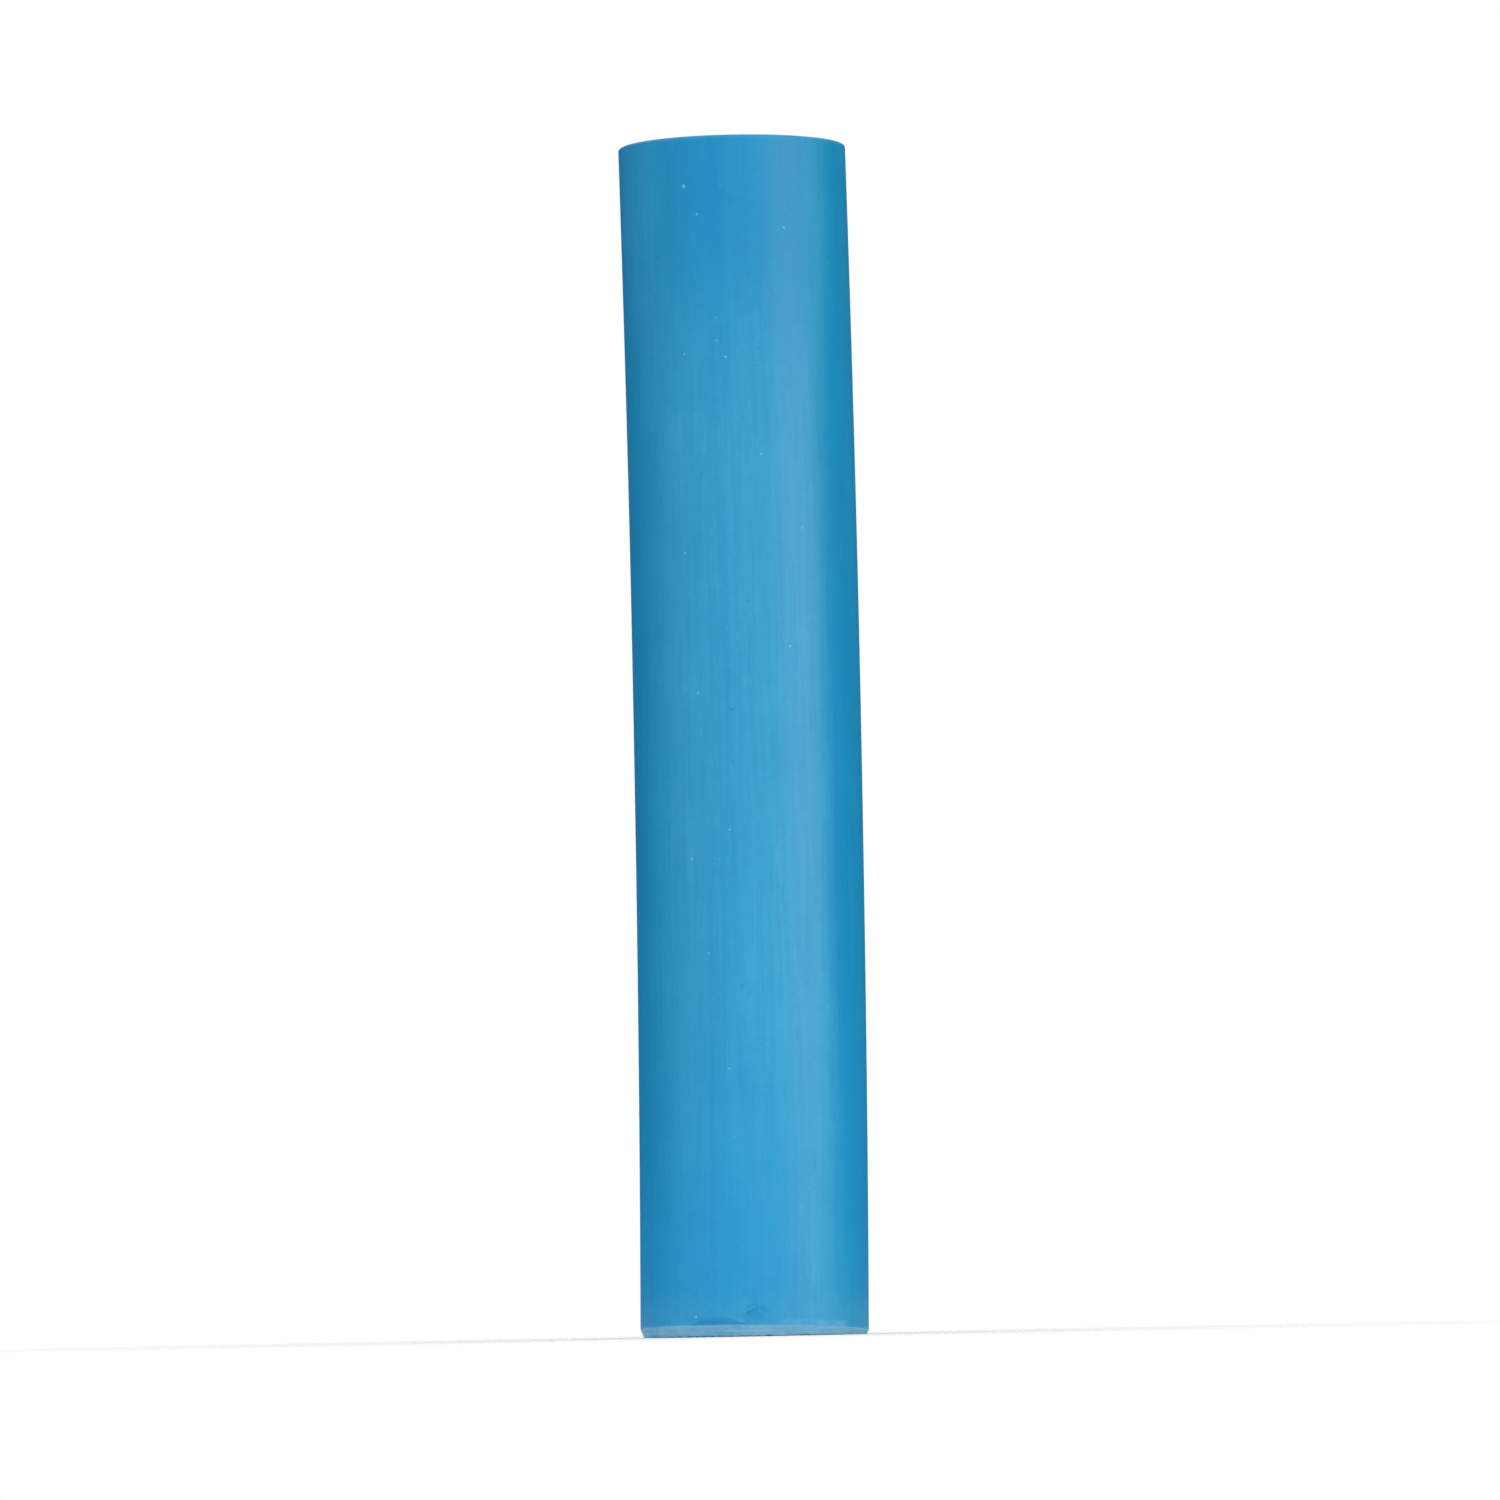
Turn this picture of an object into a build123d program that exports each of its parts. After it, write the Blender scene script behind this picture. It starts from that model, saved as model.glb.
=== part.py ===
from build123d import *

import os
from math import asin, cos, degrees, radians, sin, sqrt

# A round stick of blue chalk, pressed through a die, dried and cut to length. It is one piece.
# It stands on its foot, with +Z up the stick, -Y to the front and +X to the right.
# The origin is on the floor, under the middle of the stick's outline.
# Sizes are in millimetres and degrees. A bearing goes round from the front, plus to the right.

# Stick
stick_length = 100.0
stick_diameter = 19.2
bow = 0.4  # how far the middle dried out of line with the two ends, towards +X

# Worn edge round the head
worn_radius = 0.25
worn_taper = 2.0  # between the side of the stick and the wear, where the wear runs out

# Trim: a blade went round the edge of the foot, a little out of level
trim_high = 0.98  # its height up the side where it is highest
trim_low = 0.10  # its height on the opposite side
trim_bearing = -25.0  # where it is highest
trim_angle = 24.0  # between the blade and the side of the stick

# Dent: a blunt tip was pressed into the front while the chalk was soft
dent_width = 2.0
dent_height = 1.3
dent_depth = 0.07  # below a straight edge laid across its width
dent_level = 1.95  # of its middle, above the foot
dent_bearing = 1.0

# What follows from these sizes
stick_radius = stick_diameter / 2
bow_radius = (stick_length**2 / 4 + bow**2) / (2 * bow)
spare = stick_radius / 2  # length pressed past each end, and reach of each cut past the stick
up = Vector(0, 0, 1)
foot_centre = Vector(-bow / 2, 0, 0)  # the ends stand left of the origin, and the middle right of it
head_centre = foot_centre + up * stick_length


def outward(bearing):
    return Vector(sin(radians(bearing)), -cos(radians(bearing)), 0)


with BuildPart() as chalk_stick:
    # Body: a disc carried along the bowed line, then cut level at the foot and the head
    half_arc = degrees(asin((stick_length / 2 + spare) / bow_radius))
    with BuildLine(Plane.XZ) as bowed_line:
        CenterArc((bow / 2 - bow_radius, stick_length / 2), bow_radius, -half_arc, 2 * half_arc)
    with BuildSketch(Plane(bowed_line.line @ 0, z_dir=bowed_line.line % 0)):
        Circle(stick_radius)
    sweep()
    split(bisect_by=Plane.XY, keep=Keep.TOP)
    split(bisect_by=Plane(head_centre), keep=Keep.BOTTOM)

    # Worn edge: a quarter round, which runs out down the side
    with BuildSketch(Plane(head_centre, x_dir=outward(90), z_dir=outward(0))):
        with BuildLine():
            worn = RadiusArc((stick_radius - worn_radius, 0), (stick_radius, -worn_radius), worn_radius)
            run_out = PolarLine(worn @ 1, spare, worn_taper - 90)
            Polyline(run_out @ 1, ((run_out @ 1).X + spare, 0), worn @ 0)
        make_face()
    revolve(axis=Axis(head_centre, up), mode=Mode.SUBTRACT)

    # Trim: what lies outside a cone, which leans away from the side where the trim is high
    trim_lean = asin((trim_high - trim_low) / stick_diameter)
    blade_x = outward(trim_bearing) * cos(trim_lean) + up * sin(trim_lean)
    cone_axis = up * cos(trim_lean) - outward(trim_bearing) * sin(trim_lean)
    with BuildSketch(Plane(foot_centre, x_dir=blade_x, z_dir=blade_x.cross(cone_axis))):
        with BuildLine():
            trim_edge = (stick_radius, (trim_high + trim_low) / 2)
            upper = PolarLine(trim_edge, spare, 90 - trim_angle)
            lower = PolarLine(trim_edge, spare, 270 - trim_angle)
            Polyline(upper @ 1, ((upper @ 1).X, (lower @ 1).Y), lower @ 1)
        make_face()
    revolve(axis=Axis(foot_centre, cone_axis), mode=Mode.SUBTRACT)

    # Dent: an egg-shaped tip, as wide and as high as its mark where the side of the stick meets it
    tip_radius = ((dent_width / 2) ** 2 + dent_depth**2) / (2 * dent_depth)
    side_sag = stick_radius - sqrt(stick_radius**2 - (dent_width / 2) ** 2)
    full_depth = dent_depth + side_sag
    tip_height = (dent_height / 2) / sqrt(1 - (1 - full_depth / tip_radius) ** 2)
    tip_reach = stick_radius - full_depth + tip_radius
    tip_centre = foot_centre + outward(dent_bearing) * tip_reach + up * dent_level
    with BuildSketch(Plane(tip_centre, x_dir=outward(dent_bearing), z_dir=outward(dent_bearing - 90))):
        with BuildLine():
            tip = EllipticalCenterArc((0, 0), tip_radius, tip_height, 90, arc_size=180)
            Line(tip @ 0, tip @ 1)
        make_face()
    revolve(axis=Axis(tip_centre, up), mode=Mode.SUBTRACT)

chalk_stick.part.label = "chalk_stick"

os.makedirs("parts", exist_ok=True)
export_step(chalk_stick.part, "parts/chalk_stick.step")
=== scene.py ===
import math
import random

import bmesh
import bpy
from mathutils import Matrix, Vector, noise


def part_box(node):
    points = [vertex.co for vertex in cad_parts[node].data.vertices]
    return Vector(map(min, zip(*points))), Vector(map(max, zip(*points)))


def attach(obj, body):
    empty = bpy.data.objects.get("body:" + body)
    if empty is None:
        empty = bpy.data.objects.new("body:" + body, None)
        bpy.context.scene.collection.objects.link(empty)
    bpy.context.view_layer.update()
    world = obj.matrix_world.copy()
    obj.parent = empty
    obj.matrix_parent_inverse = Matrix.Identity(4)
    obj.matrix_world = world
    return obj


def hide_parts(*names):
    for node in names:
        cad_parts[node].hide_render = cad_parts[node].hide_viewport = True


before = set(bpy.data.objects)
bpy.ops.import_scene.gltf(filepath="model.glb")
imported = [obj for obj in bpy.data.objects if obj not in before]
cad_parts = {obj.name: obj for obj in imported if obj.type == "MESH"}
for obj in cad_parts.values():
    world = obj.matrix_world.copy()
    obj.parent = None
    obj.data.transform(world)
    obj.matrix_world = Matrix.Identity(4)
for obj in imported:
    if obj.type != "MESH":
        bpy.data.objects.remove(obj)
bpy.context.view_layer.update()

mm = 0.001
solidLow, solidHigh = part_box("chalk_stick")
stickLength = solidHigh.z
stickRadius = (solidHigh.y - solidLow.y) / 2
stickMiddle = Vector((0, 0, stickLength / 2))


# helpers

def outward(bearing, elevation=0):
    # direction out of the stick: a bearing goes round from the front, plus to the right
    turn, lift = math.radians(bearing), math.radians(elevation)
    return Vector((math.sin(turn) * math.cos(lift), -math.cos(turn) * math.cos(lift), math.sin(lift)))


def bearingOf(co):
    # in radians
    return math.atan2(co.x, -co.y)


def arcBetween(bearing, middleDegrees):
    # length along the skin from a bearing in degrees to one in radians, the short way round
    turn = (bearing - math.radians(middleDegrees) + math.pi) % math.tau - math.pi
    return turn * stickRadius


def ease(value, low, high):
    # smooth step: 0 below low, 1 above high
    t = min(max((value - low) / (high - low), 0), 1)
    return t * t * (3 - 2 * t)


def stretched(co, across, along):
    # place to read a noise at, so that it is drawn out along the stick
    return Vector((co.x / across, co.y / across, co.z / along))


# the stick's shape: a half section spun round, then worn and bowed

stick = {
    "segments": 360,
    "bow": (solidHigh.x - solidLow.x) - 2 * stickRadius,  # how far the middle stands out to the right
    "skinInset": 0.03 * mm,           # skin under the solid's, so that what stands proud stays inside it
    "wave": 0.02 * mm,                # unevenness left by drying
    "waveSize": (9 * mm, 28 * mm),    # across and along the stick
    "flute": 0.004 * mm,              # fine ridges drawn by the die
    "fluteSize": (0.9 * mm, 60 * mm),
    "wornRadius": 0.25 * mm,
    "fineFoot": 4.6 * mm,             # close rings up to here, for the trim and the dent
    "fineHead": 3.5 * mm,             # and from here below the head
}
trim = {
    "high": 0.98 * mm,
    "low": 0.10 * mm,
    "lowest": 0.04 * mm,
    "bearing": -25,
    "angle": 24,                      # between the trim and the side of the stick
    "crumble": 0.05 * mm,             # how much its upper edge wanders
    "crumbSizes": (1.1 * mm, 0.35 * mm),
    "scrape": 0.018 * mm,             # depth of the lines that the blade drew
    "scrapeSize": (3 * mm, 0.09 * mm),
    "footRounding": 0.05 * mm,
    "edgeRounding": 0.04 * mm,
}
dent = {
    "width": 2.05 * mm,
    "height": 1.40 * mm,
    "depth": 0.13 * mm,
    "level": 1.95 * mm,
    "bearing": 1,
    "lip": 0.02 * mm,
    "lipReach": 1.15,                 # where the lip stands, as a share of the dent's half size
    "lipWidth": 0.14,
    "fineReach": 1.7 * mm,            # finer mesh this far to each side, and between these heights
    "fineHeights": (0.9 * mm, 3.3 * mm),
    # ridges left standing in it: from, to (right and up from its middle), half width, height
    "ridges": [
        ((-1.00 * mm, 0.06 * mm), (-0.30 * mm, 0.42 * mm), 0.09 * mm, 0.09 * mm),
        ((-0.30 * mm, 0.42 * mm), (0.32 * mm, 0.60 * mm), 0.09 * mm, 0.07 * mm),
        ((0.18 * mm, 0.34 * mm), (0.22 * mm, -0.08 * mm), 0.10 * mm, 0.06 * mm),
        ((0.42 * mm, -0.20 * mm), (0.66 * mm, -0.42 * mm), 0.10 * mm, 0.07 * mm),
    ],
    # deepest spot, right and up from its middle
    "spot": {"right": -0.68 * mm, "up": -0.12 * mm, "radius": 0.42 * mm, "depth": 0.08 * mm},
}
rub = {
    "width": 6.0 * mm,
    "height": 0.66 * mm,              # above the trim, at its highest
    "depth": 0.06 * mm,
    "bearing": -18.5,
    "rise": (-1.02, -0.35),           # where it rises and falls, as shares of its half width
    "fall": (0.1, 1.05),
    "below": 3 * mm,                  # all of it lies below this height
}
cutEnd = {
    "wireBearings": (35, -60),        # of the wire that cut the foot and the head
    "drag": 0.06 * mm,                # depth of the lines left by the wire
    "dragWidth": 0.8 * mm,
    "dragLengths": (9 * mm, 5 * mm),  # of wide and fine lines
    "grain": 0.025 * mm,
    "grainWidth": 0.3 * mm,
    "holes": 30,                      # air holes in each end
    "holeRadius": (0.16 * mm, 0.42 * mm),
    "holesWithin": 0.93,              # share of the radius
    "rim": 0.6 * mm,                  # the edge stays whole over this width
    "crumble": 0.08 * mm,             # how far the foot's edge has broken away
    "crumbleReach": 0.28 * mm,
    "crumbSizes": (0.42 * mm, 0.16 * mm),
    "seed": 7,
}
trimMean = (trim["high"] + trim["low"]) / 2
trimSlope = math.tan(math.radians(trim["angle"]))
skinRadius = stickRadius - stick["skinInset"]
nearSkin = skinRadius - 1 * mm        # points nearer to the axis than this belong to the ends


def trimLevel(bearing):
    # height of the trim's upper edge at a bearing in radians
    swing = (trim["high"] - trim["low"]) / 2
    level = trimMean + swing * math.cos(bearing - math.radians(trim["bearing"]))
    place = Vector((math.sin(bearing), math.cos(bearing), 0)) * stickRadius
    large, small = trim["crumbSizes"]
    wander = noise.noise(place / large) + 0.5 * noise.noise(place / small)
    return max(level + trim["crumble"] * wander * ease(level, 0, 0.5 * mm), trim["lowest"])


def nearest(things, place, middle):
    return min(things, key=lambda thing: (middle(thing) - Vector((place[0], 0, place[1]))).length)


def spinStick():
    # stops of the half section: radius, height, rounding and its steps, cuts on the way to the next stop
    stops = [
        (0, 0, 0, 0, 44),
        (skinRadius - trimMean * trimSlope, 0, trim["footRounding"], 2, 8),
        (skinRadius, trimMean, trim["edgeRounding"], 2, 28),
        (skinRadius, stick["fineFoot"], 0, 0, 64),
        (skinRadius, stickLength - stick["fineHead"], 0, 0, 14),
        (skinRadius, stickLength, stick["wornRadius"], 5, 44),
        (0, stickLength, 0, 0, 0),
    ]
    bm = bmesh.new()
    corners = [bm.verts.new((stop[0], 0, stop[1])) for stop in stops]
    for pair in zip(corners, corners[1:]):
        bm.edges.new(pair)
    for radius, height, rounding, steps, _ in stops:
        if rounding:
            corner = nearest(bm.verts, (radius, height), lambda vert: vert.co)
            bmesh.ops.bevel(
                bm, geom=[corner], offset=rounding, offset_type="OFFSET", segments=steps,
                profile=0.5, affect="VERTICES", material=-1,
            )
    for stop, after in zip(stops, stops[1:]):
        halfway = ((stop[0] + after[0]) / 2, (stop[1] + after[1]) / 2)
        span = nearest(bm.edges, halfway, lambda edge: (edge.verts[0].co + edge.verts[1].co) / 2)
        bmesh.ops.subdivide_edges(bm, edges=[span], cuts=stop[4])
    bmesh.ops.spin(
        bm, geom=bm.verts[:] + bm.edges[:], cent=(0, 0, 0), axis=(0, 0, 1),
        angle=math.tau, steps=stick["segments"], use_merge=True,
    )
    bmesh.ops.remove_doubles(bm, verts=bm.verts, dist=0.001 * mm)
    bmesh.ops.recalc_face_normals(bm, faces=bm.faces)
    return bm


def markCut(bm):
    # the trim and both ends are cut chalk, material 1; the rest is the pressed skin, material 0
    for face in bm.faces:
        middle = face.calc_center_median()
        nearAxis = math.hypot(middle.x, middle.y) < skinRadius - 0.6 * stick["wornRadius"]
        face.material_index = 1 if middle.z < trimMean or nearAxis else 0
        face.smooth = True


def pressSkin(bm):
    # unevenness and fine ridges, both pressed in and never out
    for vert in bm.verts:
        radius = math.hypot(vert.co.x, vert.co.y)
        if radius < skinRadius - 0.01 * mm:
            continue
        wave = noise.noise(stretched(vert.co, *stick["waveSize"]))
        flute = noise.noise(stretched(vert.co, *stick["fluteSize"]))
        inward = stick["wave"] * (0.5 + 0.5 * wave) + stick["flute"] * (0.5 + 0.5 * flute)
        vert.co.xy *= (radius - inward) / radius


def trimFoot(bm):
    # moves the lowest rings so that the trim's edge follows its own level, and leans the trim in
    across, along = trim["scrapeSize"]
    settled = stick["fineFoot"]
    for vert in bm.verts:
        radius = math.hypot(vert.co.x, vert.co.y)
        if vert.co.z > settled or radius == 0:
            continue
        level = trimLevel(bearingOf(vert.co))
        if vert.co.z > trimMean:
            vert.co.z += (level - trimMean) * (settled - vert.co.z) / (settled - trimMean)
        elif vert.co.z > 0:
            share = vert.co.z / trimMean
            place = Vector((vert.co.x / across, vert.co.y / across, vert.co.z * level / trimMean / along))
            scraped = trim["scrape"] * (0.5 + 0.5 * noise.noise(place)) * math.sin(math.pi * share) ** 0.5
            fall = skinRadius - radius
            vert.co.xy *= (skinRadius - fall * level / trimMean - scraped) / radius
            vert.co.z = level * share
        else:
            vert.co.xy *= (skinRadius - level * trimSlope) / (skinRadius - trimMean * trimSlope)


def ridgeAt(right, up, ridge):
    # height of a ridge at a place in the dent
    start, end, halfWidth, height = Vector(ridge[0]), Vector(ridge[1]), ridge[2], ridge[3]
    along = end - start
    share = min(max((Vector((right, up)) - start).dot(along) / along.length_squared, 0), 1)
    away = (Vector((right, up)) - start - along * share).length / halfWidth
    return height * math.exp(-away * away)


def spotAt(right, up, spread):
    # the dent's deepest spot: 1 in its middle; a larger spread keeps it narrower
    spot = dent["spot"]
    away2 = (right - spot["right"]) ** 2 + (up - spot["up"]) ** 2
    return math.exp(-away2 / (spot["radius"] / spread) ** 2)


def pressDent(bm):
    low, high = dent["fineHeights"]
    near = []
    for face in bm.faces:
        middle = face.calc_center_median()
        across = arcBetween(bearingOf(middle), dent["bearing"])
        if abs(across) < dent["fineReach"] and low < middle.z < high and middle.xy.length > nearSkin:
            near.append(face)
    edges = {edge for face in near for edge in face.edges}
    bmesh.ops.subdivide_edges(bm, edges=list(edges), cuts=1, use_grid_fill=True)
    for vert in bm.verts:
        right = arcBetween(bearingOf(vert.co), dent["bearing"])
        up = vert.co.z - dent["level"]
        reach = math.hypot(right / (dent["width"] / 2), up / (dent["height"] / 2))
        radius = vert.co.xy.length
        if reach > 2 or radius < nearSkin:
            continue
        inside = ease(dent["lipReach"] - reach, 0, 0.35)
        bowl = dent["depth"] * max(1 - reach**2, 0) ** 0.8
        bowl += dent["spot"]["depth"] * spotAt(right, up, 1.6) * inside
        stand = max(ridgeAt(right, up, ridge) for ridge in dent["ridges"]) * inside
        lip = dent["lip"] * math.exp(-((reach - dent["lipReach"]) / dent["lipWidth"]) ** 2)
        lip *= ease(up, -0.5 * mm, 0.4 * mm)
        vert.co.xy *= (radius - max(bowl - stand, 0) + lip) / radius


def rubHeight(bearing):
    # height above the trim of the rubbed patch, which rises from its left end and runs out at the dent
    across = arcBetween(bearing, rub["bearing"]) / (rub["width"] / 2)
    return rub["height"] * ease(across, *rub["rise"]) * (1 - ease(across, *rub["fall"]))


def rubEdge(bm):
    for vert in bm.verts:
        radius = vert.co.xy.length
        if radius < skinRadius - 0.3 * mm or vert.co.z > rub["below"]:
            continue
        bearing = bearingOf(vert.co)
        height = rubHeight(bearing)
        above = vert.co.z - trimLevel(bearing)
        if height > 0 and -0.02 * mm <= above < height:
            fade = ease(height, 0, 0.2 * mm) * (1 - max(above, 0) / height) ** 0.6
            vert.co.xy *= (radius - rub["depth"] * fade) / radius


def crumbleFoot(bm):
    # the edge between the trim and the foot has broken away in small crumbs
    large, small = cutEnd["crumbSizes"]
    for vert in bm.verts:
        corner = skinRadius - trimLevel(bearingOf(vert.co)) * trimSlope
        radius = vert.co.xy.length
        away = math.hypot(radius - corner, vert.co.z) / cutEnd["crumbleReach"]
        if away > 1 or radius < corner - 0.3 * mm:
            continue
        place = Vector((vert.co.x, vert.co.y, 0))
        broken = max(noise.noise(place / large) + 0.5 * noise.noise(place / small) + 0.1, 0)
        loss = cutEnd["crumble"] * broken * (1 - away * away)
        vert.co.xy *= (radius - loss) / radius
        vert.co.z += loss


def drawHoles():
    # places and radii of the air holes in one end
    holes = []
    for _ in range(cutEnd["holes"]):
        place = outward(random.uniform(0, 360)) * stickRadius * cutEnd["holesWithin"] * random.random() ** 0.5
        holes.append((place, random.uniform(*cutEnd["holeRadius"]) * random.uniform(0.5, 1)))
    return holes


def cutEnds(bm):
    # lines that the wire drew across each end, crumbled grain and air holes
    random.seed(cutEnd["seed"])
    width, (wideRun, fineRun) = cutEnd["dragWidth"], cutEnd["dragLengths"]
    for level, inward, wireBearing in zip((0, stickLength), (1, -1), cutEnd["wireBearings"]):
        across = outward(wireBearing)
        along = outward(wireBearing + 90)
        holes = drawHoles()
        for vert in bm.verts:
            if abs(vert.co.z - level) > 0.001 * mm:
                continue
            flat = Vector((vert.co.x, vert.co.y, 0))
            q, p = flat.dot(across), flat.dot(along)
            lines = noise.noise(Vector((q / width, p / wideRun, level)))
            lines += 0.5 * noise.noise(Vector((q / (0.3 * width), p / fineRun, level + 3)))
            grain = noise.noise(flat / cutEnd["grainWidth"])
            grain += 0.6 * noise.noise(flat / (2.3 * cutEnd["grainWidth"]))
            depth = cutEnd["drag"] * (0.5 + 0.4 * lines) + cutEnd["grain"] * (0.5 + 0.5 * grain)
            for place, size in holes:
                away = (flat - place).length / size
                if away < 1:
                    depth += 0.8 * size * (1 - away**2) ** 0.5
            vert.co.z += inward * max(depth, 0) * ease(skinRadius - flat.length, 0, cutEnd["rim"])


def bowStick(bm):
    for vert in bm.verts:
        share = 2 * vert.co.z / stickLength - 1
        vert.co.x += stick["bow"] / 2 - stick["bow"] * share**2


# powder, bare skin, and a pale bloom with painted light and sheen: masks from 0 to 1, kept on the mesh's
# points; bearings in degrees

dust = {
    "smear": 0.62,                    # above the trim, to the right of the dent
    "smearStart": (5, 20),
    "smearEnd": (53, 59),
    "smearTop": 0.62 * mm,            # above the trim's edge
    "smearRagged": 0.35 * mm,         # how much its top wanders
    "rim": 0.35,                      # along the trim's edge
    "rimTop": 0.2 * mm,
    "head": 0.30,                     # round the head's edge
    "headReach": (0.05 * mm, 0.35 * mm),
    "ridge": 0.40,                    # on what stands in the dent
    "bank": 0.35,                     # along the top of the rubbed patch
    "bankStart": (-22, -6),
    "bankLift": 0.08 * mm,
    "bankWidth": 0.1 * mm,
    "veil": 0.13,                     # thin, all round above the foot
    "veilTop": (0.8 * mm, 3.4 * mm),
}
# painted light and sheen down the lit front, and a weaker pale bloom down the back
bloomAndSheen = {
    "left": (-74, -38),               # where it starts and ends across the front
    "right": (36, 54),
    "back": (95, 140),                # from here on it is the weaker one of the back
    "backShare": 0.55,
    "headReach": (5 * mm, 27 * mm),
    "bareLeft": (-52, -30),           # bare middle of the front, at the head
    "bareRight": (34, 44),
    "footReach": (2 * mm, 36 * mm),
    "thinRight": (22, 40),            # thin over the foot to the left of this
}
highestRidge = max(height for _, _, _, height in dent["ridges"])


def dustOn(co):
    # loose powder: a smear above the trim to the right of the dent, and a little along the trim's edge, the
    # rubbed patch's top and above the foot; the skin is also paler round the head's edge and on what stands
    # in the dent
    bearing = bearingOf(co)
    turn = math.degrees(bearing)
    above = co.z - trimLevel(bearing)
    ragged = 0.5 + 0.5 * noise.noise(Vector((turn / 5, co.z / (0.5 * mm), 0)))
    patchy = noise.noise(Vector((turn / 9, co.z / (0.3 * mm), 4)))
    top = dust["smearTop"] + dust["smearRagged"] * ragged
    smear = ease(turn, *dust["smearStart"]) * (1 - ease(turn + 4 * ragged, *dust["smearEnd"]))
    smear *= (1 - ease(above, 0.3 * top, 1.1 * top)) * (0.8 + 0.5 * patchy)
    rim = 1 - ease(above, 0, dust["rimTop"])
    head = 1 - ease(stickLength - co.z, *dust["headReach"])
    right, up = arcBetween(bearing, dent["bearing"]), co.z - dent["level"]
    ridge, bank = 0, 0
    if abs(right) < dent["width"]:
        ridge = max(ridgeAt(right, up, each) for each in dent["ridges"]) / highestRidge
    if turn < 2 and rubHeight(bearing) > 0.05 * mm:
        away = (above - rubHeight(bearing) - dust["bankLift"]) / dust["bankWidth"]
        bank = math.exp(-away * away) * ease(turn, *dust["bankStart"])
    veil = 1 - ease(above, *dust["veilTop"])
    parts = {"smear": smear, "rim": rim, "head": head, "ridge": ridge, "bank": bank, "veil": veil}
    return min(max(dust[name] * part for name, part in parts.items()), 1)


def cleanOn(co):
    # where the blue is deepest: the rubbed patch, which is rubbed bare of powder, and the dent, most at its
    # deepest spot
    bearing = bearingOf(co)
    height = rubHeight(bearing)
    above = co.z - trimLevel(bearing)
    rubbed = 0
    if height > 0.02 * mm:
        rubbed = 1 - 0.65 * ease(above, 0.35 * height, height)
        rubbed *= 1 - ease(above, height, height + 0.1 * mm)
        rubbed *= ease(height, 0.02 * mm, 0.25 * mm)
    right, up = arcBetween(bearing, dent["bearing"]), co.z - dent["level"]
    reach = math.hypot(right / (dent["width"] / 2), up / (dent["height"] / 2))
    return min(max(rubbed, spotAt(right, up, 1.2), 0.45 * ease(1 - reach, 0, 0.4)), 1)


def bloomAndSheenOn(co):
    # painted light and sheen, paler down the front where the lamps fall on it, thin near the foot and leaving
    # the middle of the head bare; and a weaker pale bloom, as drying leaves, down the back
    turn = math.degrees(bearingOf(co))
    head = 1 - ease(stickLength - co.z, *bloomAndSheen["headReach"])
    foot = 1 - ease(co.z, *bloomAndSheen["footReach"])
    # towards the head it reaches further round on both sides, and towards the foot on the right
    left = ease(turn, bloomAndSheen["left"][0] - 10 * head, bloomAndSheen["left"][1] - 20 * head)
    right = 1 - ease(turn, bloomAndSheen["right"][0] + 8 * head, bloomAndSheen["right"][1] + 8 * head + 8 * foot)
    bare = head * ease(turn, *bloomAndSheen["bareLeft"]) * (1 - ease(turn, *bloomAndSheen["bareRight"]))
    thin = foot * (0.7 - 0.5 * ease(turn, *bloomAndSheen["thinRight"]))
    back = bloomAndSheen["backShare"] * ease(abs(turn), *bloomAndSheen["back"])
    return max(left * right * (1 - bare) * (1 - thin), back)


def makeStick():
    bm = spinStick()
    markCut(bm)
    pressSkin(bm)
    trimFoot(bm)
    print("stick spun, pressed and trimmed")
    cutEnds(bm)
    pressDent(bm)
    rubEdge(bm)
    crumbleFoot(bm)
    print("ends cut, dent and wear made")
    pressed = bm.verts.layers.float_vector.new("pressed")
    masks = [(bm.verts.layers.float.new(name), mask) for name, mask in
             (("dust", dustOn), ("clean", cleanOn), ("bloomAndSheen", bloomAndSheenOn))]
    for vert in bm.verts:
        vert[pressed] = vert.co
        for layer, mask in masks:
            vert[layer] = mask(vert.co)
    bowStick(bm)
    mesh = bpy.data.meshes.new("stick")
    bm.to_mesh(mesh)
    bm.free()
    piece = bpy.data.objects.new("stick", mesh)
    bpy.context.scene.collection.objects.link(piece)
    print("stick:", len(mesh.polygons), "faces")
    return piece


# nodes

def addNode(tree, kind, inputs=None, **settings):
    # new node with its settings, and its inputs as values or as sockets to link from
    node = tree.nodes.new(kind)
    for name, value in settings.items():
        setattr(node, name, value)
    for name, value in (inputs or {}).items():
        if isinstance(value, bpy.types.NodeSocket):
            tree.links.new(value, node.inputs[name])
        else:
            node.inputs[name].default_value = value
    return node


def calc(tree, operation, first, second):
    return addNode(tree, "ShaderNodeMath", {0: first, 1: second}, operation=operation).outputs[0]


def addUp(tree, *parts):
    # sum of values, each times its share
    total = None
    for value, share in parts:
        part = calc(tree, "MULTIPLY", value, share)
        total = part if total is None else calc(tree, "ADD", total, part)
    return total


def mixValue(tree, factor, first, second):
    return addNode(tree, "ShaderNodeMix", {0: factor, 2: first, 3: second}, data_type="FLOAT").outputs[0]


def mixColor(tree, factor, first, second):
    return addNode(tree, "ShaderNodeMix", {0: factor, 6: first, 7: second}, data_type="RGBA").outputs[2]


def remap(tree, value, fromLow, fromHigh, toLow, toHigh):
    values = {"Value": value, "From Min": fromLow, "From Max": fromHigh, "To Min": toLow, "To Max": toHigh}
    return addNode(tree, "ShaderNodeMapRange", values).outputs["Result"]


def readMask(tree, name):
    return addNode(tree, "ShaderNodeAttribute", attribute_name=name).outputs["Fac"]


def readPressed(tree):
    # places on the stick as pressed, before it bowed
    return addNode(tree, "ShaderNodeAttribute", attribute_name="pressed").outputs["Vector"]


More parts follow.
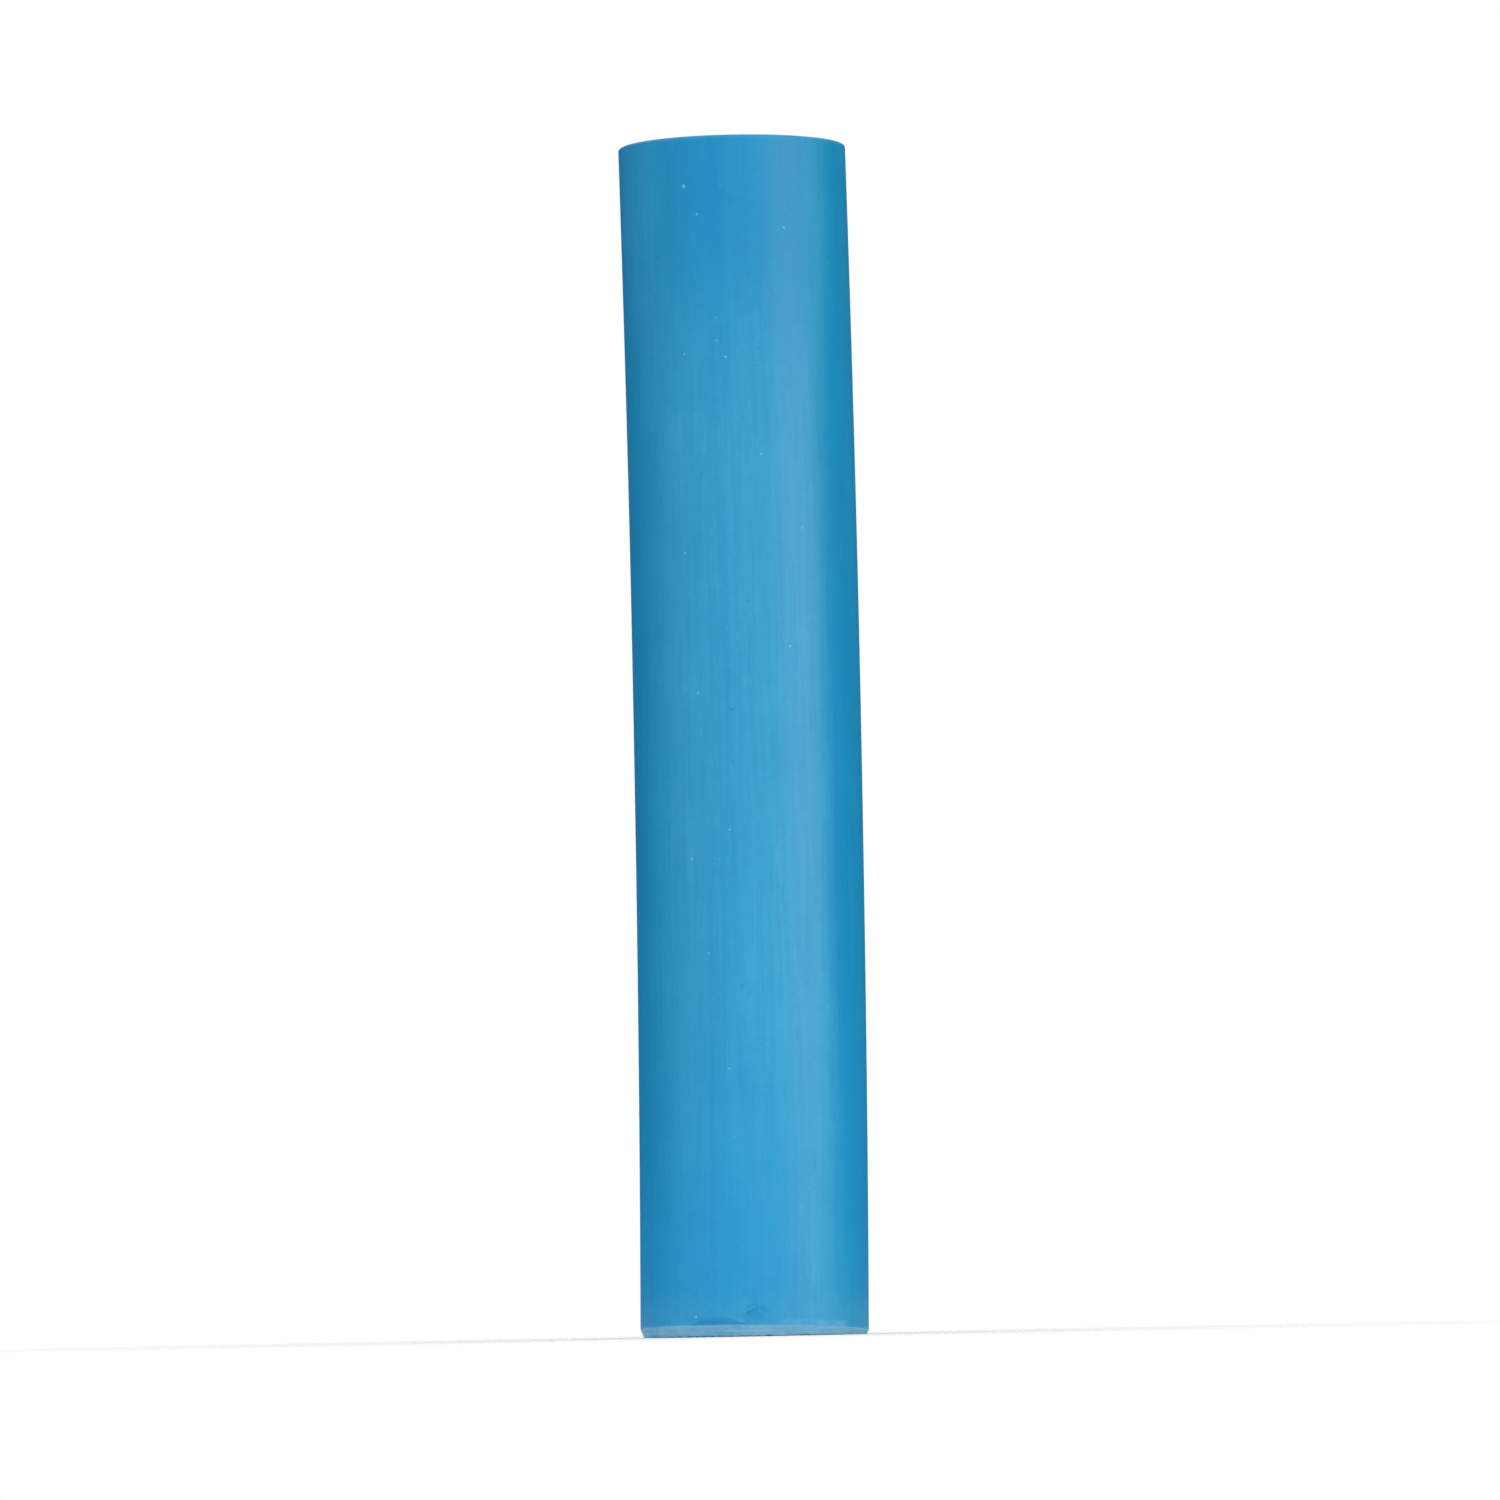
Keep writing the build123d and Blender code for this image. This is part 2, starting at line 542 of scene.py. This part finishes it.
def drawnNoise(tree, vector, size, detail, roughness=0.5):
    # noise drawn out along the stick; its size is across and along
    across, along = size
    scale = (1 / across, 1 / across, 1 / along)
    drawn = addNode(tree, "ShaderNodeMapping", {"Vector": vector, "Scale": scale})
    return addNode(tree, "ShaderNodeTexNoise", {
        "Vector": drawn.outputs["Vector"], "Scale": 1.0, "Detail": detail, "Roughness": roughness,
    }).outputs["Fac"]


def addBump(tree, shader, height, distance, strength):
    bump = addNode(tree, "ShaderNodeBump", {"Height": height, "Distance": distance, "Strength": strength})
    tree.links.new(bump.outputs["Normal"], shader.inputs["Normal"])


def newGroup(name, values, results):
    # node group that takes a place and some values, and puts out numbers
    group = bpy.data.node_groups.new(name, "ShaderNodeTree")
    group.interface.new_socket("Vector", in_out="INPUT", socket_type="NodeSocketVector")
    for title, value in values.items():
        group.interface.new_socket(title, in_out="INPUT", socket_type="NodeSocketFloat").default_value = value
    for title in results:
        group.interface.new_socket(title, in_out="OUTPUT", socket_type="NodeSocketFloat")
    return group, addNode(group, "NodeGroupInput").outputs, addNode(group, "NodeGroupOutput").inputs


def placeGroup(tree, group, vector, values):
    return addNode(tree, "ShaderNodeGroup", {"Vector": vector, **values}, node_tree=group).outputs


def makeGrainGroup():
    # powdery mottling at two sizes: a tone around 0.5 and a height
    values = {"Grain Size": 0.2 * mm, "Clump Size": 1.2 * mm, "Clumping": 0.5}
    group, given, made = newGroup("powderGrain", values, ("Tone", "Height"))
    tones = []
    for size, detail in (("Grain Size", 3), ("Clump Size", 2)):
        frequency = calc(group, "DIVIDE", 1.0, given[size])
        texture = addNode(group, "ShaderNodeTexNoise", {
            "Vector": given["Vector"], "Scale": frequency, "Detail": detail, "Roughness": 0.6,
        })
        tones.append(texture.outputs["Fac"])
    group.links.new(mixValue(group, given["Clumping"], *tones), made["Tone"])
    group.links.new(tones[0], made["Height"])
    return group


def makeSpeckGroup():
    # scattered small round specks, few or many
    values = {"Spacing": 0.8 * mm, "Radius": 0.15 * mm, "Share": 0.02}
    group, given, made = newGroup("specks", values, ("Mask",))
    frequency = calc(group, "DIVIDE", 1.0, given["Spacing"])
    cells = addNode(group, "ShaderNodeTexVoronoi", {"Vector": given["Vector"], "Scale": frequency})
    radius = calc(group, "MULTIPLY", given["Radius"], frequency)
    spot = remap(group, cells.outputs["Distance"], radius, calc(group, "MULTIPLY", radius, 0.5), 0.0, 1.0)
    chance = addNode(group, "ShaderNodeSeparateColor", {"Color": cells.outputs["Color"]})
    chosen = calc(group, "LESS_THAN", chance.outputs[0], given["Share"])
    group.links.new(calc(group, "MULTIPLY", spot, chosen), made["Mask"])
    return group


# materials

skin = {
    "deep": (0.003, 0.226, 0.458, 1),
    "light": (0.008, 0.276, 0.516, 1),
    # pale colour of the bloom, and of the painted light and sheen down the front
    "bloomAndSheen": (0.130, 0.560, 0.740, 1),
    "dusty": (0.150, 0.440, 0.620, 1),
    "clean": (0.003, 0.208, 0.440, 1),
    "speck": (0.240, 0.500, 0.640, 1),
    "pit": (0.004, 0.190, 0.340, 1),
    "roughness": (0.37, 0.50),
    "specular": 0.27,
    "bump": 0.02 * mm,
    "wideStreak": (2.6 * mm, 34 * mm),  # across and along
    "fineStreak": (0.40 * mm, 12 * mm),
    "scuff": (0.5 * mm, 2.2 * mm),
    "cloud": 8 * mm,
    "grain": {"Grain Size": 0.22 * mm, "Clump Size": 1.1 * mm, "Clumping": 0.55},
    # how much of the bloom and its painted light and sheen goes into the skin
    "bloomAndSheenShare": 0.155,
    "bloomAndSheenClouds": 0.15,              # how much clouds, and the mottling, thin or thicken the bloom and its painted light and sheen
    "bloomAndSheenMottle": 0.19,
    "cleanShare": 0.95,
    "cleanRougher": 0.25,             # added to the roughness
    "gritShare": 0.75,
    # a noise from and to, and what it gives at each
    "tones": (0.50, 1.00, 0.0, 1.0),
    "paleScuffs": (0.66, 0.80, 0.0, 0.11),
    "darkScuffs": (0.34, 0.24, 0.0, 0.35),
    "patchyDust": (0.36, 0.60, 0.45, 1.0),
    # chance specks: colour, how strongly they show, and the group's values
    "specks": [
        ("speck", 0.4, {"Spacing": 0.9 * mm, "Radius": 0.13 * mm, "Share": 0.012}),
        ("pit", 0.8, {"Spacing": 0.8 * mm, "Radius": 0.10 * mm, "Share": 0.015}),
        ("speck", 0.3, {"Spacing": 0.5 * mm, "Radius": 0.07 * mm, "Share": 0.05}),
    ],
}
# single grains that show, pale and dark: bearing, height and radius in mm
grit = {
    "speck": [
        (-25.5, 95.8, 0.20), (-18.9, 93.4, 0.12), (25.5, 92.2, 0.12), (-6.3, 81.4, 0.13), (-28.0, 81.8, 0.11),
        (10.0, 73.2, 0.10), (22.8, 57.2, 0.12), (-25.0, 53.5, 0.12), (-11.6, 22.2, 0.11), (-30.5, 1.7, 0.13),
        (-30.6, 65.2, 0.12), (31.2, 67.1, 0.09), (-30.4, 39.7, 0.12), (-21.7, 31.8, 0.11), (-9.9, 42.0, 0.09),
    ],
    "pit": [
        (-7.7, 52.0, 0.12), (1.3, 61.0, 0.11), (-42.0, 90.0, 0.12), (54.0, 90.0, 0.14), (10.0, 97.0, 0.12),
        (14.0, 97.6, 0.10), (3.5, 94.6, 0.11), (10.3, 82.1, 0.10), (13.2, 81.0, 0.10), (9.5, 80.6, 0.09),
        (-23.4, 77.2, 0.10), (-17.6, 78.0, 0.09),
    ],
}
cut = {
    "pale": (0.245, 0.465, 0.600, 1),
    "blue": (0.085, 0.320, 0.500, 1),
    "hollow": (0.045, 0.240, 0.410, 1),
    "tones": (0.35, 0.62, 0.0, 1.0),  # as the skin's, from blue to pale
    "roughness": (0.78, 0.92),
    "bump": 0.05 * mm,
    "scrape": (4 * mm, 0.125 * mm),   # across and along: lines round the trim
    "grain": {"Grain Size": 0.14 * mm, "Clump Size": 0.9 * mm, "Clumping": 0.45},
    "hollows": {"Spacing": 0.5 * mm, "Radius": 0.12 * mm, "Share": 0.10},
}


def newMaterial(name):
    material = bpy.data.materials.new(name)
    material.use_nodes = True
    tree = material.node_tree
    tree.nodes.clear()
    shader = addNode(tree, "ShaderNodeBsdfPrincipled")
    addNode(tree, "ShaderNodeOutputMaterial", {"Surface": shader.outputs["BSDF"]})
    return material, tree, shader


def addSpecks(tree, speckGroup, pressed, color):
    for tint, strength, values in skin["specks"]:
        mask = placeGroup(tree, speckGroup, pressed, values)["Mask"]
        color = mixColor(tree, calc(tree, "MULTIPLY", mask, strength), color, skin[tint])
    return color


def addGrit(tree, pressed, color):
    for tint, grains in grit.items():
        shown = None
        for bearing, height, radius in grains:
            place = outward(bearing) * skinRadius + Vector((0, 0, height * mm))
            away = addNode(tree, "ShaderNodeVectorMath", {0: pressed, 1: place}, operation="DISTANCE")
            spot = remap(tree, away.outputs["Value"], radius * mm, 0.4 * radius * mm, 0.0, 1.0)
            shown = spot if shown is None else calc(tree, "MAXIMUM", shown, spot)
        color = mixColor(tree, calc(tree, "MULTIPLY", shown, skin["gritShare"]), color, skin[tint])
    return color


def makeSkinMaterial(grainGroup, speckGroup):
    material, tree, shader = newMaterial("pressedChalk")
    pressed = readPressed(tree)
    dustMask, cleanMask, bloomAndSheenMask = [readMask(tree, name) for name in ("dust", "clean", "bloomAndSheen")]

    # streaks drawn along the stick by the die, wide and fine, with clouds and grain
    wideStreak = drawnNoise(tree, pressed, skin["wideStreak"], 2.0, 0.55)
    fineStreak = drawnNoise(tree, pressed, skin["fineStreak"], 2.0, 0.55)
    streak = mixValue(tree, 0.42, wideStreak, fineStreak)
    cloudValues = {"Vector": pressed, "Scale": 1 / skin["cloud"], "Detail": 4.0}
    cloud = addNode(tree, "ShaderNodeTexNoise", cloudValues).outputs["Fac"]
    grain = placeGroup(tree, grainGroup, pressed, skin["grain"])
    tone = addUp(tree, (streak, 0.78), (cloud, 0.27), (grain["Tone"], 0.45))
    color = mixColor(tree, remap(tree, tone, *skin["tones"]), skin["deep"], skin["light"])

    # bloom with painted light and sheen, and short scuffs along the stick, a few of them pale or dark
    scuff = drawnNoise(tree, pressed, skin["scuff"], 3.0)
    mottle = addUp(tree, (fineStreak, 0.50), (grain["Tone"], 0.30), (scuff, 0.20))
    low, high = [skin["bloomAndSheenShare"] * (1 + side * skin["bloomAndSheenClouds"]) for side in (-1, 1)]
    bloomAndSheenFilm = calc(tree, "MULTIPLY", bloomAndSheenMask, remap(tree, cloud, 0.35, 0.65, low, high))
    low, high = 1 - skin["bloomAndSheenMottle"], 1 + skin["bloomAndSheenMottle"]
    bloomAndSheenFilm = calc(tree, "MULTIPLY", bloomAndSheenFilm, remap(tree, mottle, 0.40, 0.60, low, high))
    color = mixColor(tree, bloomAndSheenFilm, color, skin["bloomAndSheen"])
    color = mixColor(tree, remap(tree, scuff, *skin["paleScuffs"]), color, skin["speck"])
    color = mixColor(tree, remap(tree, scuff, *skin["darkScuffs"]), color, skin["deep"])

    # bare and dusty places, specks and grains
    color = mixColor(tree, calc(tree, "MULTIPLY", cleanMask, skin["cleanShare"]), color, skin["clean"])
    powder = calc(tree, "MULTIPLY", dustMask, remap(tree, grain["Tone"], *skin["patchyDust"]))
    color = mixColor(tree, powder, color, skin["dusty"])
    color = addSpecks(tree, speckGroup, pressed, color)
    color = addGrit(tree, pressed, color)
    tree.links.new(color, shader.inputs["Base Color"])
    shader.inputs["Specular IOR Level"].default_value = skin["specular"]

    rough = remap(tree, calc(tree, "ADD", grain["Tone"], powder), 0.3, 1.0, *skin["roughness"])
    rough = calc(tree, "ADD", rough, calc(tree, "MULTIPLY", cleanMask, skin["cleanRougher"]))
    tree.links.new(rough, shader.inputs["Roughness"])
    addBump(tree, shader, addUp(tree, (fineStreak, 0.6), (grain["Height"], 0.5)), skin["bump"], 0.6)
    return material


def makeCutMaterial(grainGroup, speckGroup):
    material, tree, shader = newMaterial("cutChalk")
    pressed = readPressed(tree)
    grain = placeGroup(tree, grainGroup, pressed, cut["grain"])
    tone = addUp(tree, (grain["Tone"], 0.6), (drawnNoise(tree, pressed, cut["scrape"], 2.0), 0.4))
    color = mixColor(tree, remap(tree, tone, *cut["tones"]), cut["blue"], cut["pale"])
    hollows = placeGroup(tree, speckGroup, pressed, cut["hollows"])
    color = mixColor(tree, hollows["Mask"], color, cut["hollow"])
    tree.links.new(color, shader.inputs["Base Color"])
    tree.links.new(remap(tree, grain["Tone"], 0.3, 0.7, *cut["roughness"]), shader.inputs["Roughness"])
    addBump(tree, shader, grain["Height"], cut["bump"], 0.8)
    return material


# floor, world, lamps and camera

floor = {
    "color": (0.90, 0.90, 0.90, 1),
    "roughness": 0.9,
    "size": 500 * mm,
    "fadeFrom": 14 * mm,              # from the stick outwards, where the paper gives way to white
    "fadeTo": 95 * mm,
}
world = {"light": 0.26}
# share: the brightness that a lamp alone gives a white card at the stick
lamps = {
    "keyLamp": {"bearing": 55, "elevation": 4, "distance": 0.5, "size": 0.40, "share": 0.60, "gloss": True},
    "frontLamp": {"bearing": 5, "elevation": 10, "distance": 1.1, "size": 0.8, "share": 0.31},
    "leftLamp": {
        "bearing": -50, "elevation": 15, "distance": 1.0, "size": 0.8, "share": 0.42,
        "color": (0.90, 0.98, 1.12),
    },
    "backRightLamp": {"bearing": 150, "elevation": 20, "distance": 1.0, "size": 0.7, "share": 0.38},
    "backLeftLamp": {"bearing": -150, "elevation": 20, "distance": 1.0, "size": 0.7, "share": 0.38},
    "topLamp": {"bearing": 0, "elevation": 90, "distance": 0.8, "size": 0.5, "share": 0.32},
}
darkCards = {
    "from": 80,                       # bearings: round the back from the right to the left
    "to": 280,
    "distance": 350 * mm,
    "low": -300 * mm,
    "high": 450 * mm,
    "color": (0.003, 0.003, 0.003, 1),
}
camera = {
    "distance": 820 * mm,
    "height": 2 * mm,
    "lens": 234.7,
    "clip": 10 * mm,
    "aim": (0.37 * mm, 0, 49.13 * mm),
    "roll": -1.12,                    # the stick leans by this, its head to the left
}


def makeFloor():
    bm = bmesh.new()
    bmesh.ops.create_circle(bm, cap_ends=True, cap_tris=False, segments=96, radius=floor["size"])
    mesh = bpy.data.meshes.new("floor")
    bm.to_mesh(mesh)
    bm.free()
    piece = bpy.data.objects.new("floor", mesh)
    bpy.context.scene.collection.objects.link(piece)
    material, tree, shader = newMaterial("floorPaper")
    shader.inputs["Base Color"].default_value = floor["color"]
    shader.inputs["Roughness"].default_value = floor["roughness"]
    place = addNode(tree, "ShaderNodeTexCoord").outputs["Object"]
    away = addNode(tree, "ShaderNodeVectorMath", {0: place}, operation="LENGTH").outputs["Value"]
    clear = addNode(tree, "ShaderNodeBsdfTransparent")
    fade = remap(tree, away, floor["fadeFrom"], floor["fadeTo"], 0.0, 1.0)
    both = {0: fade, 1: shader.outputs["BSDF"], 2: clear.outputs["BSDF"]}
    faded = addNode(tree, "ShaderNodeMixShader", both)
    tree.links.new(faded.outputs[0], tree.nodes["Material Output"].inputs["Surface"])
    mesh.materials.append(material)


def makeWorld():
    # the world lights at one strength, and looks white to the camera and in gloss
    made = bpy.data.worlds.new("studio")
    made.use_nodes = True
    bpy.context.scene.world = made
    tree = made.node_tree
    tree.nodes.clear()
    path = addNode(tree, "ShaderNodeLightPath").outputs
    seen = calc(tree, "MAXIMUM", path["Is Camera Ray"], path["Is Glossy Ray"])
    seen = calc(tree, "MAXIMUM", seen, path["Is Transmission Ray"])
    light = addNode(tree, "ShaderNodeBackground", {"Color": (1, 1, 1, 1), "Strength": world["light"]})
    white = addNode(tree, "ShaderNodeBackground", {"Color": (1, 1, 1, 1), "Strength": 1.0})
    both = addNode(tree, "ShaderNodeMixShader", {0: seen, 1: light.outputs[0], 2: white.outputs[0]})
    addNode(tree, "ShaderNodeOutputWorld", {"Surface": both.outputs[0]})


def makeLamps():
    for name, lamp in lamps.items():
        data = bpy.data.lights.new(name, "AREA")
        data.shape = "SQUARE"
        data.size = lamp["size"]
        data.energy = lamp["share"] * math.pi**2 * lamp["distance"] ** 2
        data.color = lamp.get("color", (1, 1, 1))
        place = bpy.data.objects.new(name, data)
        out = outward(lamp["bearing"], lamp["elevation"])
        place.location = stickMiddle + out * lamp["distance"]
        place.rotation_euler = out.to_track_quat("Z", "Y").to_euler()
        place.visible_camera = False
        place.visible_glossy = lamp.get("gloss", False)
        bpy.context.scene.collection.objects.link(place)


def makeDarkCards():
    # black cards round the back, seen only in the stick's sheen, so that its edges don't go pale
    bm = bmesh.new()
    start = outward(darkCards["from"]) * darkCards["distance"]
    low = bm.verts.new(start + Vector((0, 0, darkCards["low"])))
    high = bm.verts.new(start + Vector((0, 0, darkCards["high"])))
    bm.edges.new((low, high))
    bmesh.ops.spin(
        bm, geom=bm.verts[:] + bm.edges[:], cent=(0, 0, 0), axis=(0, 0, 1),
        angle=math.radians(darkCards["to"] - darkCards["from"]), steps=24,
    )
    mesh = bpy.data.meshes.new("darkCards")
    bm.to_mesh(mesh)
    bm.free()
    piece = bpy.data.objects.new("darkCards", mesh)
    bpy.context.scene.collection.objects.link(piece)
    for ray in ("camera", "diffuse", "shadow", "transmission", "volume_scatter"):
        setattr(piece, "visible_" + ray, False)
    material, _, shader = newMaterial("blackCard")
    shader.inputs["Base Color"].default_value = darkCards["color"]
    shader.inputs["Roughness"].default_value = 1
    mesh.materials.append(material)


def makeCamera():
    data = bpy.data.cameras.new("camera")
    data.lens = camera["lens"]
    data.clip_start = camera["clip"]
    view = bpy.data.objects.new("camera", data)
    place = Vector((0, -camera["distance"], camera["height"]))
    look = (Vector(camera["aim"]) - place).to_track_quat("-Z", "Y")
    roll = Matrix.Rotation(math.radians(camera["roll"]), 4, "Z")
    view.matrix_world = Matrix.Translation(place) @ look.to_matrix().to_4x4() @ roll
    bpy.context.scene.collection.objects.link(view)
    bpy.context.scene.camera = view


makeCamera()
makeWorld()
makeLamps()
makeFloor()
makeDarkCards()
print("camera, world, lamps, floor and cards made")

grainGroup = makeGrainGroup()
speckGroup = makeSpeckGroup()
stickPiece = makeStick()
stickPiece.data.materials.append(makeSkinMaterial(grainGroup, speckGroup))
stickPiece.data.materials.append(makeCutMaterial(grainGroup, speckGroup))
print("materials made")
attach(stickPiece, "root")
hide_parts("chalk_stick")

bpy.context.scene.view_settings.view_transform = "Standard"
